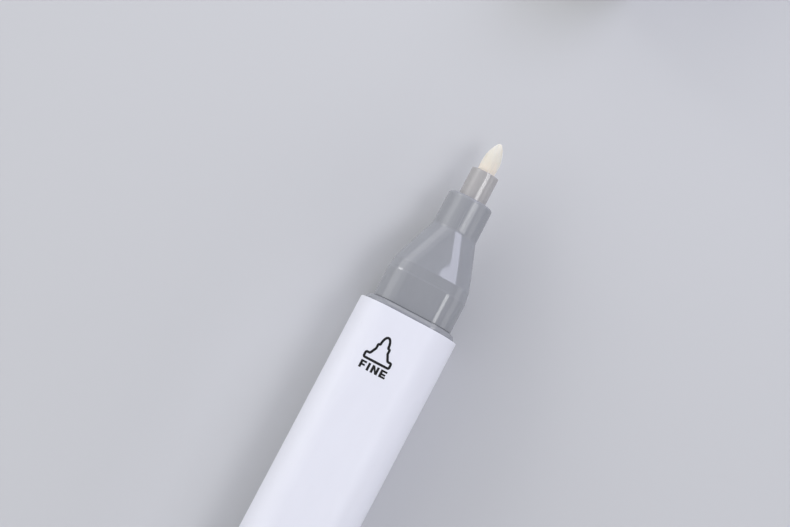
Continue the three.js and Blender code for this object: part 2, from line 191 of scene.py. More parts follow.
def rounded(
    stops: Sequence[Stop],
    closed: bool,
    steps: int = 6,
    widest_turn: float = 3.0,
    widest_cut: float = 0.48,
) -> np.ndarray:
    """Rounds the corners of a profile.

    A corner P between neighbours A and B, where the profile turns by an angle, gives way to a
    curve that leaves the line from A one cut before P and meets the line to B one cut after
    it. The cut is the rounding times the tangent of half the turn. The curve is rational and
    quadratic, and P has the cosine of half the turn as its weight, which makes it a true arc
    in half-width and station. The other values follow by the same weights.

    Args:
        stops: The profile's corners in order.
        closed: Whether the profile comes back to its first stop.
        steps: How many facets each rounding has.
        widest_turn: The turn, in radians, past which a rounding reaches no further.
        widest_cut: The largest share of a line that a rounding may take.

    Returns:
        Rows of half-width, half-height, corner radius and station.
    """
    rows = np.array([stop.row() for stop in stops])
    radius = np.array([stop.rounding for stop in stops])
    if not closed:
        radius[[0, -1]] = 0.0
    back, ahead = np.roll(rows, 1, 0) - rows, np.roll(rows, -1, 0) - rows
    reach_back, reach_ahead = (np.maximum(planar(leg), NOTHING) for leg in (back, ahead))
    back, ahead = back / reach_back[:, None], ahead / reach_ahead[:, None]
    cosine = -(back[:, 0] * ahead[:, 0] + back[:, 3] * ahead[:, 3])
    turn = np.arccos(np.clip(cosine, -1, 1))
    cut = radius * np.tan(np.minimum(turn, widest_turn) / 2)
    cut = np.minimum(cut, widest_cut * np.minimum(reach_back, reach_ahead))
    first, last = rows + back * cut[:, None], rows + ahead * cut[:, None]
    t = np.linspace(0, 1, steps + 1)[None, :, None]
    weight = np.cos(turn / 2)[:, None, None]
    shares = (1 - t) ** 2, 2 * weight * t * (1 - t), t**2
    curve = shares[0] * first[:, None] + shares[1] * rows[:, None] + shares[2] * last[:, None]
    path = (curve / sum(shares)).reshape(-1, rows.shape[1])
    moved = np.abs(np.diff(path, axis=0)).max(1) > SAME
    path = path[np.concatenate([[True], moved])]
    return np.vstack([path, path[:1]]) if closed else path


def supported(
    path: np.ndarray,
    near: float = 0.04 * MM,
    pitch: float = 2 * MM,
    clear: float = 0.6 * MM,
) -> np.ndarray:
    """Adds points to the straight runs of a profile, so that smooth shading stays flat there.

    A run gets one point at a short distance from each of its ends, and evenly spaced points
    between these, none further apart than the pitch. All of them lie on the run. A run that
    is not four such distances long gets none. From an end on the axis the first point keeps
    a longer distance, because the edges of a tiny ring there would mislead the shading.

    Args:
        path: Rows of a rounded profile.
        near: The distance from a run's ends to its first and last new point.
        pitch: The widest spacing of the points.
        clear: That distance from an end on the axis, or a third of the run if that is less.

    Returns:
        The profile with its new rows.
    """
    pieces = []
    for start, end, length in zip(path[:-1], path[1:], planar(np.diff(path, axis=0))):
        inner = np.array([])
        if length > 4 * near:
            count = max(2, math.ceil(length / pitch) + 1)
            pole = min(clear, length / 3)
            first, last = (pole if row[0] == 0 else near for row in (start, end))
            inner = np.linspace(first / length, 1 - last / length, count)
        share = np.concatenate([[0.0], inner])[:, None]
        pieces.append(start * (1 - share) + end * share)
    return np.vstack([*pieces, path[-1:]])


def perimeter(
    quarter: int = 24,
    flat: Sequence[float] = (0.02, 0.5, 0.98),
    crown: float | np.ndarray = 0.02,
) -> np.ndarray:
    """Lists the directions of the points round a section.

    Each of the four corners is an arc of even steps. Each side between two corners is a much
    wider arc, whose direction swings by the crown to either hand of square. The corners start
    and end at that direction, so the two kinds of arc touch smoothly. The wide arc's radius
    is the corner's, plus the distance from the section's middle to a corner's centre over the
    sine of the crown.

    Args:
        quarter: How many facets a corner has.
        flat: Where a side has its points, from 0 to 1.
        crown: The swing of a side's direction from square, in degrees, for all sections or
            for each one.

    Returns:
        For each section, rows of the two factors that place a corner's centre, and the cosine
        and sine of the direction from that centre.
    """
    swing = np.atleast_1d(np.radians(crown))[:, None]
    least = 1 / (1 + np.tan(swing / 2))
    angle = swing + (math.pi / 2 - 2 * swing) * np.linspace(0, 1, quarter + 1)
    corner = [*np.broadcast_arrays(least, least, np.cos(angle), np.sin(angle))]
    tilt = swing * (1 - 2 * np.array(flat))
    across = least * np.sin(tilt) / np.sin(swing)
    out = least * (1 + (np.cos(tilt) - np.cos(swing)) / np.sin(swing))
    side = [across, out, np.sin(tilt), np.cos(tilt)]
    rows = np.concatenate([np.stack(corner, -1), np.stack(side, -1)], 1)
    turned = []
    for _ in range(4):
        turned.append(rows)
        rows = np.stack([-rows[..., 1], rows[..., 0], -rows[..., 3], rows[..., 2]], -1)
    return np.concatenate(turned, 1)


def swept(path: np.ndarray, around: np.ndarray | None = None) -> np.ndarray:
    """Carries a profile round its sections.

    A point is the corner centre, which is the half-size less the corner radius with the
    corner's signs, plus the corner radius along the point's own direction.

    Args:
        path: Rows of half-width, half-height, corner radius and station.
        around: The directions round a section, as perimeter gives them.

    Returns:
        A grid of station, sideways and upwards, one row for each row of the profile.
    """
    around = perimeter() if around is None else around
    half, height, corner, station = (path[:, k, None] for k in range(4))
    sideways = (half - corner) * around[..., 0] + corner * around[..., 2]
    upwards = (height - corner) * around[..., 1] + corner * around[..., 3]
    return np.stack([np.broadcast_to(station, sideways.shape), sideways, upwards], -1)


def uneven(grid: np.ndarray) -> np.ndarray:
    """Adds up four sine waves over the angle round the axis and the station.

    Args:
        grid: Points of an end as station, sideways and upwards.

    Returns:
        A value between minus one and nothing for each point.
    """
    angle = np.arctan2(grid[..., 2], grid[..., 1])
    along = grid[..., 0] / MM
    waves = ((3, 1.1, 0.4), (5, -0.7, 1.9), (9, 0.5, 0.2), (14, 1.9, 2.6))
    total = sum(np.sin(turns * angle + rate * along + phase) for turns, rate, phase in waves)
    return (total / len(waves) - 1) / 2


# Meshes


def grid_faces(rows: int, columns: int) -> np.ndarray:
    """Lists the quads of a grid that closes on itself across its columns.

    Args:
        rows: How many rows of points the grid has.
        columns: How many points each row has.

    Returns:
        Rows of four point indices, facing out where rows run outwards along the axis.
    """
    index = np.arange(rows * columns).reshape(rows, columns)
    right = np.roll(index, -1, 1)
    return np.stack([index[:-1], right[:-1], right[1:], index[1:]], -1).reshape(-1, 4)


def new_piece(
    name: str,
    points: np.ndarray,
    faces: np.ndarray,
    weld: float = 1e-7,
    sharp: float = 40.0,
) -> bpy.types.Object:
    """Makes an object of points and quads, closes its seams and poles and shades it smooth.

    Args:
        name: The piece's name.
        points: Rows of X, Y and Z in the frame.
        faces: Rows of four point indices.
        weld: How close together points become one.
        sharp: The angle, in degrees, from which an edge stays sharp.

    Returns:
        The object, at the origin, unturned and unscaled.
    """
    mesh = bpy.data.meshes.new(name)
    mesh.from_pydata(points.reshape(-1, 3).tolist(), [], faces.tolist())
    work = bmesh.new()
    work.from_mesh(mesh)
    bmesh.ops.remove_doubles(work, verts=work.verts, dist=weld)
    bmesh.ops.dissolve_degenerate(work, edges=work.edges, dist=weld)
    work.to_mesh(mesh)
    work.free()
    mesh.shade_smooth()
    mesh.set_sharp_from_angle(angle=math.radians(sharp))
    piece = bpy.data.objects.new(name, mesh)
    bpy.context.scene.collection.objects.link(piece)
    return piece


def on_grid(name: str, axis: Axis, end: End, grid: np.ndarray) -> bpy.types.Object:
    """Makes a piece from a grid of an end's own points."""
    return new_piece(name, axis.place(grid, end), grid_faces(*grid.shape[:2]))


def lofted(
    name: str,
    axis: Axis,
    end: End,
    stops: Sequence[Stop],
    closed: bool,
    crown: Callable[[np.ndarray], np.ndarray] | None = None,
    sides: int = 12,
) -> bpy.types.Object:
    """Makes a piece from a profile of sections.

    Args:
        name: The piece's name.
        axis: The marker's axis.
        end: The end that the piece belongs to.
        stops: The profile's corners.
        closed: Whether the profile is a loop, as for a tube, and not a line from axis to axis.
        crown: Gives the bulge of the sides for stations, as perimeter takes it. Without it,
            the sides are flat.
        sides: How many points a bulging side has.

    Returns:
        The new object.
    """
    path = rounded(stops, closed)
    if crown is None:
        return on_grid(name, axis, end, swept(supported(path)))
    path = supported(path, pitch=FINE_PITCH)
    around = perimeter(flat=np.linspace(0, 1, sides + 2)[1:-1], crown=crown(path[:, 3]))
    return on_grid(name, axis, end, swept(path, around))


def hand_over(
    piece: bpy.types.Object,
    body: Body,
    finish: "Finish",
    node: str | None = None,
) -> None:
    """Gives a finished piece its material and its place in the frame.

    Args:
        piece: The object.
        body: The body that it moves with.
        finish: What its surface is.
        node: The CAD node that it stands for, if any.
    """
    finish.dress(piece)
    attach(piece, body.value)
    if node:
        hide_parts(node)
    log.info("%s rides on %s, %d faces", piece.name, body.value, len(piece.data.polygons))


# Shader nodes

Socket = bpy.types.NodeSocket
Value = float | Sequence[float] | Socket


def colour(code: str) -> tuple[float, float, float, float]:
    """Turns a colour such as #e4e5ee into linear red, green, blue and alpha.

    A channel up to 0.04045 is divided by 12.92. Any other gets 0.055 added, is divided by
    1.055 and raised to the power 2.4.

    Args:
        code: The colour as a web page writes it.

    Returns:
        Four numbers from 0 to 1.
    """
    channels = np.array([int(code[k : k + 2], 16) for k in (1, 3, 5)]) / 255
    low = channels / 12.92
    high = ((channels + 0.055) / 1.055) ** 2.4
    return (*np.where(channels <= 0.04045, low, high).tolist(), 1.0)


class Bench:
    """Places nodes in one tree and links them."""

    def __init__(self, tree: bpy.types.NodeTree) -> None:
        """Keeps the tree and empties it."""
        self.tree = tree
        tree.nodes.clear()

    def put(self, kind: str, inputs: dict | None = None, **settings: object) -> bpy.types.Node:
        """Adds one node.

        Args:
            kind: The node's type, without its ShaderNode or Node prefix.
            inputs: Values or output sockets, by the name or number of the input.
            settings: Properties of the node itself.

        Returns:
            The node.
        """
        prefix = "Node" if kind in ("GroupInput", "GroupOutput") else "ShaderNode"
        node = self.tree.nodes.new(prefix + kind)
        for key, value in settings.items():
            setattr(node, key, value)
        for key, value in (inputs or {}).items():
            if isinstance(value, Socket):
                self.tree.links.new(value, node.inputs[key])
            else:
                node.inputs[key].default_value = value
        return node

    def math(self, operation: str, *values: Value) -> Socket:
        """Adds a Math node over numbers or sockets and gives its result."""
        return self.put("Math", dict(enumerate(values)), operation=operation).outputs[0]

    def sized(self, vector: Socket, size: Value) -> Socket:
        """Divides a vector by a length, so that the pattern it leads to has that size."""
        inputs = {0: vector, 3: self.math("DIVIDE", 1.0, size)}
        return self.put("VectorMath", inputs, operation="SCALE").outputs[0]

    def noise(
        self, vector: Socket, scale: Value, detail: float = 2.0, roughness: float = 0.5
    ) -> Socket:
        """Adds a noise and gives its value, which is about 0.5 in the middle.

        Args:
            vector: Where the noise is read.
            scale: One factor for the vector, or three, which stretch the noise.
            detail: How many finer layers it has.
            roughness: How strong these are.

        Returns:
            The value.
        """
        if isinstance(scale, tuple):
            vector = self.put("Mapping", {"Vector": vector, "Scale": scale}).outputs[0]
            scale = 1.0
        inputs = {"Vector": vector, "Scale": scale, "Detail": detail, "Roughness": roughness}
        return self.put("TexNoise", inputs).outputs["Fac"]

    def ramp(
        self, value: Value, low: float, high: float, start: float = 0.0, stop: float = 1.0
    ) -> Socket:
        """Maps a range of a value smoothly onto another range, and holds it at the ends."""
        inputs = {0: value, 1: low, 2: high, 3: start, 4: stop}
        return self.put("MapRange", inputs, interpolation_type="SMOOTHSTEP").outputs[0]

    def blend(self, share: Value, first: Value, second: Value, how: str = "MIX") -> Socket:
        """Mixes two colours by a share and gives the result."""
        inputs = {0: share, 6: first, 7: second}
        return self.put("Mix", inputs, data_type="RGBA", blend_type=how).outputs[2]

    def bump(self, height: Socket, distance: float, **others: Value) -> Socket:
        """Adds a Bump node and gives its normal."""
        inputs = {"Strength": 1.0, "Distance": distance, "Height": height, **others}
        return self.put("Bump", inputs).outputs[0]

    def effect(
        self, group: bpy.types.NodeTree, place: Socket, **values: float
    ) -> bpy.types.bpy_prop_collection:
        """Places a shared effect with its own values and gives its outputs."""
        return self.put("Group", {"Vector": place, **values}, node_tree=group).outputs


class GroupBench(Bench):
    """A bench on a new node group, whose first input is a vector."""

    def __init__(self, name: str, **sizes: float) -> None:
        """Makes the group with a number input for each size.

        Args:
            name: The group's name.
            sizes: The inputs' defaults by their names.
        """
        super().__init__(bpy.data.node_groups.new(name, "ShaderNodeTree"))
        sockets = self.tree.interface
        sockets.new_socket("Vector", in_out="INPUT", socket_type="NodeSocketVector")
        for key, value in sizes.items():
            socket = sockets.new_socket(key, in_out="INPUT", socket_type="NodeSocketFloat")
            socket.default_value = value
        self.given = self.put("GroupInput").outputs
        self.place = self.given["Vector"]

    def finished(self, **results: Socket) -> bpy.types.NodeTree:
        """Gives the group a number output for each result.

        Args:
            results: The sockets to put out, by the outputs' names.

        Returns:
            The group.
        """
        for key in results:
            self.tree.interface.new_socket(key, in_out="OUTPUT", socket_type="NodeSocketFloat")
        self.put("GroupOutput", results)
        return self.tree


class Effects:
    """The surface effects that several finishes share, each a node group built once."""

    @staticmethod
    @cache
    def moulded_skin() -> bpy.types.NodeTree:
        """Builds the skin of moulded plastic.

        Height is a fine noise with a softer one under it, like orange peel. Mottle is a slow
        noise stretched along the axis, the way the melt flowed.

        Returns:
            The group, with inputs Vector, Grain and Flow and outputs Height and Mottle.
        """
        bench = GroupBench("moulded skin", Grain=0.35 * MM, Flow=4 * MM)
        peel = bench.noise(bench.sized(bench.place, bench.given["Grain"]), 1.0, 3.0, 0.45)
        slow = bench.sized(bench.place, bench.given["Flow"])
        mottle = bench.noise(slow, (0.35, 1, 1), 3.0, 0.55)
        return bench.finished(Height=peel, Mottle=bench.ramp(mottle, 0.32, 0.68))

    @staticmethod
    @cache
    def hairlines() -> bpy.types.NodeTree:
        """Builds faint scratches from caps, fingers and cases.

        Two noises, each stretched many times along its own slanting direction, are cut to
        thin lines where they pass the middle, and a slow noise leaves them in patches.

        Returns:
            The group, with inputs Vector, Width and Cover and output Mask.
        """
        bench = GroupBench("hairlines", Width=0.02, Cover=0.5)
        lines = []
        for turn, scale in ((0.05, (25, 1500, 1500)), (0.5, (40, 1100, 1100))):
            slant = {"Vector": bench.place, "Rotation": (0.2, 0.1, turn), "Scale": scale}
            value = bench.noise(bench.put("Mapping", slant).outputs[0], 1.0, 0.0)
            off = bench.math("ABSOLUTE", bench.math("SUBTRACT", value, 0.5))
            share = bench.math("DIVIDE", off, bench.given["Width"])
            lines.append(bench.ramp(share, 0.2, 1.0, 1.0, 0.0))
        patch = bench.noise(bench.place, (220, 420, 420))
        limit = bench.math("SUBTRACT", 1.0, bench.given["Cover"])
        over = bench.math("SUBTRACT", patch, bench.math("MULTIPLY", limit, 0.8))
        both = bench.math("MAXIMUM", *lines)
        return bench.finished(Mask=bench.math("MULTIPLY", both, bench.ramp(over, 0.0, 0.2)))

    @staticmethod
    @cache
    def dust() -> bpy.types.NodeTree:
        """Builds a sparse scatter of specks.

        Each cell of a random cell pattern has a speck where the distance to its point is
        under the speck's size, and only the cells whose own random number is low keep it.

        Returns:
            The group, with inputs Vector, Spacing, Size and Share and output Mask.
        """
        bench = GroupBench("dust specks", Spacing=0.9 * MM, Size=0.05, Share=0.3)
        scale = bench.math("DIVIDE", 1.0, bench.given["Spacing"])
        cells = bench.put("TexVoronoi", {"Vector": bench.place, "Scale": scale}).outputs
        size = bench.math("DIVIDE", cells["Distance"], bench.given["Size"])
        number = bench.put("SeparateColor", {0: cells["Color"]}).outputs[0]
        kept = bench.math("LESS_THAN", number, bench.given["Share"])
        speck = bench.ramp(size, 0.6, 1.0, 1.0, 0.0)
        return bench.finished(Mask=bench.math("MULTIPLY", speck, kept))

    @staticmethod
    @cache
    def edge_wear() -> bpy.types.NodeTree:
        """Builds the rub of handling on outer edges.

        The curvature of the mesh is high on outer edges, and a noise breaks it up.

        Returns:
            The group, with inputs Vector and Amount and output Mask.
        """
        bench = GroupBench("edge wear", Amount=0.5)
        edge = bench.ramp(bench.put("NewGeometry").outputs["Pointiness"], 0.51, 0.6)
        broken = bench.ramp(bench.noise(bench.place, 1400.0, 3.0), 0.3, 0.7)
        rubbed = bench.math("MULTIPLY", edge, bench.math("MULTIPLY_ADD", broken, 0.7, 0.3))
        return bench.finished(Mask=bench.math("MULTIPLY", rubbed, bench.given["Amount"]))

    @staticmethod
    @cache
    def strands() -> bpy.types.NodeTree:
        """Builds fibres that run along the axis.

        A noise is stretched forty times along the axis. Strand is its value, and Height adds
        a second, finer one, which frays it.

        Returns:
            The group, with inputs Vector and Strand and outputs Strand and Height.
        """
        bench = GroupBench("fibre strands", Strand=0.06 * MM)
        place = bench.sized(bench.place, bench.given["Strand"])
        coarse = bench.noise(place, (0.025, 1, 1), 2.0, 0.6)
        frayed = bench.noise(place, (0.12, 2.3, 2.3), 2.0, 0.6)
        height = bench.math("MULTIPLY_ADD", frayed, 0.5, coarse)
        return bench.finished(Strand=bench.ramp(coarse, 0.3, 0.7), Height=height)


# Finishes


class Finish:
    """What a piece's surface is made of. Each kind builds its own material once."""

    name: str

    def material(self) -> bpy.types.Material:
        """Gives the finish's material, and builds it the first time.

        Returns:
            The material, known by the finish's name.
        """
        known = bpy.data.materials.get(self.name)
        if known:
            return known
        made = bpy.data.materials.new(self.name)
        made.use_nodes = True
        bench = Bench(made.node_tree)
        inputs = self.surface(bench, bench.put("TexCoord").outputs["Object"])
        shader = bench.put("BsdfPrincipled", inputs)
        bench.put("OutputMaterial", {"Surface": shader.outputs[0]})
        return made

    def dress(self, piece: bpy.types.Object) -> None:
        """Makes the finish a piece's only material."""
        piece.data.materials.clear()
        piece.data.materials.append(self.material())

    def surface(self, bench: Bench, place: Socket) -> dict[str, Value]:
        """Works out what the Principled shader of the material takes.

        Args:
            bench: The bench of the material's tree.
            place: Object coordinates.

        Returns:
            Values or sockets by the name of the shader's input.
        """
        raise NotImplementedError


@dataclass(frozen=True)
class Plastic(Finish):
    """Moulded plastic: a base colour with faint flow marks, peel, hairlines, rub and dust.

    Past a distance from the middle of the marker the mould was etched, and the surface turns
    from gloss to satin. The last fields say how much each mark adds to the roughness.
    """

    name: str
    base: str
    flow: str
    rub: str
    roughness: float = 0.2
    peel: float = 0.6e-6
    grain: float = 0.35 * MM
    scratch: float = 0.25
    scratch_depth: float = 0.4e-6
    wear: float = 0.4
    dust: str = "#8e8a84"
    dust_cover: float = 0.35
    milkiness: float = 0.0
    depth: float = 0.6 * MM
    clearness: float = 0.0
    satin_from: float = 1.0
    satin_fade: float = 0.1 * MM
    satin: float = 0.16
    rough_flow: float = 0.05
    rough_scratch: float = 0.35
    rough_wear: float = 0.2
    rough_dust: float = 0.4

    def surface(self, bench: Bench, place: Socket) -> dict[str, Value]:
        """Works out the plastic.

        Args:
            bench: The bench of the material's tree.
            place: Object coordinates.

        Returns:
            What the Principled shader takes.
        """
        skin = bench.effect(Effects.moulded_skin(), place, Grain=self.grain)
        lines = bench.effect(Effects.hairlines(), place)["Mask"]
        specks = bench.effect(Effects.dust(), place)["Mask"]
        rubbed = bench.effect(Effects.edge_wear(), place, Amount=self.wear)["Mask"]
        mottled = bench.blend(skin["Mottle"], colour(self.base), colour(self.flow))
        worn = bench.blend(rubbed, mottled, colour(self.rub))
        cover = bench.math("MULTIPLY", specks, self.dust_cover)
        scratched = bench.math("MULTIPLY", lines, self.scratch)
        outwards = bench.math("ABSOLUTE", bench.put("SeparateXYZ", {0: place}).outputs[0])
        start, stop = self.satin_from - self.satin_fade, self.satin_from + self.satin_fade
        marks = (
            (skin["Mottle"], self.rough_flow),
            (scratched, self.rough_scratch),
            (rubbed, self.rough_wear),
            (specks, self.rough_dust),
            (bench.ramp(outwards, start, stop), self.satin),
        )
        rough = self.roughness
        for mask, more in marks:
            rough = bench.math("MULTIPLY_ADD", mask, more, rough)
        peel = bench.bump(skin["Height"], self.peel)
        return {
            "Base Color": bench.blend(cover, worn, colour(self.dust)),
            "Roughness": rough,
            "Normal": bench.bump(scratched, -self.scratch_depth, Normal=peel),
            "IOR": 1.5,
            "Subsurface Weight": self.milkiness,
            "Subsurface Radius": (1.0, 0.95, 0.9),
            "Subsurface Scale": self.depth,
            "Transmission Weight": self.clearness,
        }


@dataclass(frozen=True)
class Felt(Finish):
    """Pressed polyester fibre, with a warmer colour near where it is held."""

    name: str
    tip: str
    root: str
    root_at: float = 0.0
    tip_at: float = 1.0
    strand: float = 0.06 * MM
    relief: float = 6e-6
    light: str = "#fffdf6"
    gap: str = "#8d8377"
    wander: float = 1.2 * MM
    depth: float = 1.3 * MM

    def surface(self, bench: Bench, place: Socket) -> dict[str, Value]:
        """Works out the felt.

        Args:
            bench: The bench of the material's tree.
            place: Object coordinates.

        Returns:
            What the Principled shader takes.
        """
        fibre = bench.effect(Effects.strands(), place, Strand=self.strand)
        along = bench.put("SeparateXYZ", {0: place}).outputs[0]
        slow = bench.math("SUBTRACT", bench.noise(place, 900.0), 0.5)
        shifted = bench.math("MULTIPLY_ADD", slow, self.wander, along)
        warmth = bench.ramp(shifted, self.root_at, self.tip_at)
        base = bench.blend(warmth, colour(self.root), colour(self.tip))
        shade = bench.math("MULTIPLY", fibre["Strand"], 0.35)
        toned = bench.blend(shade, base, colour(self.light), "MULTIPLY")
        dark = bench.ramp(fibre["Strand"], 0.0, 0.35, 0.13, 0.0)
        return {
            "Base Color": bench.blend(dark, toned, colour(self.gap), "MULTIPLY"),
            "Roughness": bench.ramp(fibre["Strand"], 0.0, 1.0, 0.9, 0.65),
            "Normal": bench.bump(fibre["Height"], self.relief),
            "Subsurface Weight": 1.0,
            "Subsurface Radius": (1.0, 0.93, 0.82),
            "Subsurface Scale": self.depth,
            "Sheen Weight": 0.25,
            "Sheen Roughness": 0.4,
        }


@dataclass(frozen=True)
class Ink(Finish):
    """Screen-printed ink: dense, a little glossy, with a faint mesh and thin spots."""

    name: str
    base: str = "#050507"
    thin: str = "#1c1c20"
    relief: float = 1.5e-6

    def surface(self, bench: Bench, place: Socket) -> dict[str, Value]:
        """Works out the ink.

        Args:
            bench: The bench of the material's tree.
            place: Object coordinates.

        Returns:
            What the Principled shader takes.
        """
        spots = bench.ramp(bench.noise(place, 2600.0, 3.0), 0.55, 0.8)
        share = bench.math("MULTIPLY", spots, 0.25)
        weave = bench.noise(place, 9000.0, 1.0)
        return {
            "Base Color": bench.blend(share, colour(self.base), colour(self.thin)),
            "Roughness": bench.ramp(weave, 0.2, 0.8, 0.5, 0.7),
            "Specular IOR Level": 0.25,
            "Normal": bench.bump(weave, self.relief),
        }


@dataclass(frozen=True)
class Paper(Finish):
    """The plain studio floor: pale, matt and very slightly uneven in tone."""

    name: str
    base: str = "#c5c6c9"
    second: str = "#c1c2c5"
    relief: float = 8e-6

    def surface(self, bench: Bench, place: Socket) -> dict[str, Value]:
        """Works out the floor.

        Args:
            bench: The bench of the material's tree.
            place: Object coordinates.

        Returns:
            What the Principled shader takes.
        """
        cloud = bench.ramp(bench.noise(place, 6.0), 0.3, 0.7)
        grain = bench.noise(place, 1800.0)
        return {
            "Base Color": bench.blend(cloud, colour(self.base), colour(self.second)),
            "Roughness": 0.85,
            "Specular IOR Level": 0.2,
            "Normal": bench.bump(grain, self.relief, Strength=0.4),
        }


BARREL_WHITE = Plastic(
    "barrel white", "#dfe0e9", "#dddee7", "#f1f1f6", roughness=0.42, milkiness=0.08
)
CAP_WHITE = Plastic(
    "cap white", "#dfe0e9", "#dcdde6", "#f1f1f6", roughness=0.4, milkiness=0.08
)
NECK_GREY = Plastic(
    "neck grey", "#929499", "#8f9196", "#b4b6ba", roughness=0.035, milkiness=0.2, peel=0.4e-6
)
SLEEVE_GREY = Plastic(
    "sleeve grey", "#a6a4a4", "#a3a1a1", "#b9b8b9", roughness=0.13, milkiness=0.15, peel=0.4e-6
)
PLUG_GREY = Plastic(
    "plug grey", "#c3c5cb", "#bfc1c8", "#d6d7db", roughness=0.3, milkiness=0.1
)
LINER_MILKY = Plastic(
    "liner milky", "#e6e7ea", "#e1e2e6", "#f2f2f4", roughness=0.38, milkiness=0.5, depth=1.5 * MM
)
FILM_CLEAR = Plastic(
    "film clear", "#eef0f2", "#e8ebee", "#f6f7f8", roughness=0.12, clearness=0.8, scratch=0.5
)
BUNDLE = Felt(
    "reservoir felt",
    "#f1f0ea",
    "#ece9df",
    root_at=-30 * MM,
    tip_at=30 * MM,
    strand=0.12 * MM,
    relief=15e-6,
)
NIB_FELT = Felt("nib felt", "#d6d3ca", "#e2dace")
PRINT_BLACK = Ink("print black")
FLOOR_PAPER = Paper("studio floor")


# Barrel


@dataclass
class Barrel:
    """The barrel with its print, and the reservoir inside it."""

    axis: Axis
    corner: float = 5 * MM
    wall: float = 1.1 * MM
    rim_round: float = 0.1 * MM
    inner_round: float = 0.06 * MM

    @property
    def outline(self) -> Outline:
        """The barrel's outer section."""
        return Outline(self.axis.half, self.corner)

    def build(self) -> None:
        """Makes the tube, the print and the reservoir."""
        self.tube()
        Print(self.axis, self.outline).build()
        self.reservoir()

    def tube(self) -> None:
        """Makes the open tube: outside, round the fine rim, back inside, round the other."""
        far = -2 * self.axis.rim
        stops = [
            self.outline.stop(0, far, self.rim_round),
            self.outline.stop(0, 0, self.rim_round),
            self.outline.stop(-self.wall, 0, self.inner_round),
            self.outline.stop(-self.wall, far, self.inner_round),
        ]
        piece = lofted("barrel_tube", self.axis, End.FINE, stops, closed=True)
        hand_over(piece, Body.BARREL, BARREL_WHITE, BARREL_NODE)

    def reservoir(self) -> None:
        """Dresses the two reservoir nodes, which stay as the frame has them."""
        for node, finish in (("reservoir_fibre", BUNDLE), ("reservoir_film", FILM_CLEAR)):
            finish.dress(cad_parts[node])
            log.info("%s keeps its solid", node)


@dataclass(frozen=True)
class Strip:
    """A strip of ink by the points of its left and right edges, as across and along.

    A closed strip runs back to where it starts.
    """

    left: np.ndarray
    right: np.ndarray
    closed: bool = False


